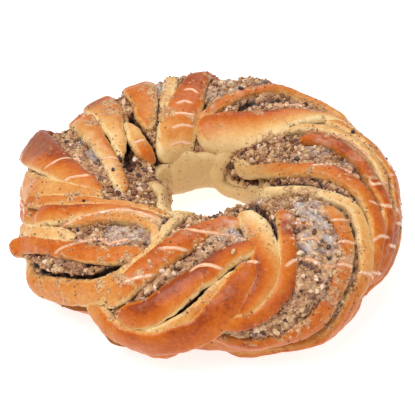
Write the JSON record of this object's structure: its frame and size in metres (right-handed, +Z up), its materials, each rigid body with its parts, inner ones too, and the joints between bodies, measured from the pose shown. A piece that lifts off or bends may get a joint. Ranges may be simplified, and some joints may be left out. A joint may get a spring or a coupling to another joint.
{
  "type": "nut wreath bread",
  "caption": "Ring-shaped festive bread, twisted from sliced folds of golden dough with a nut filling showing between them and a thin sugar glaze",
  "frame": {"origin": "the middle of the bottom of the bread's bounding box, on the surface it rests on", "axes": "+Z up, out of the flat base; +X to the right and -Y to the front as the reference view shows it, the thinnest way through the bread is Z"},
  "size_m": [0.2667, 0.2655, 0.0759],
  "materials": {
    "dough": "baked yeast dough, golden brown and slightly glossy on the crests, pale on the flanks",
    "filling": "coarse moist ground nut filling, greyish brown",
    "glaze": "thin translucent white sugar glaze"
  },
  "bodies": {
    "root": {"dough": "dough", "filling": "filling"}
  },
  "joints": []
}
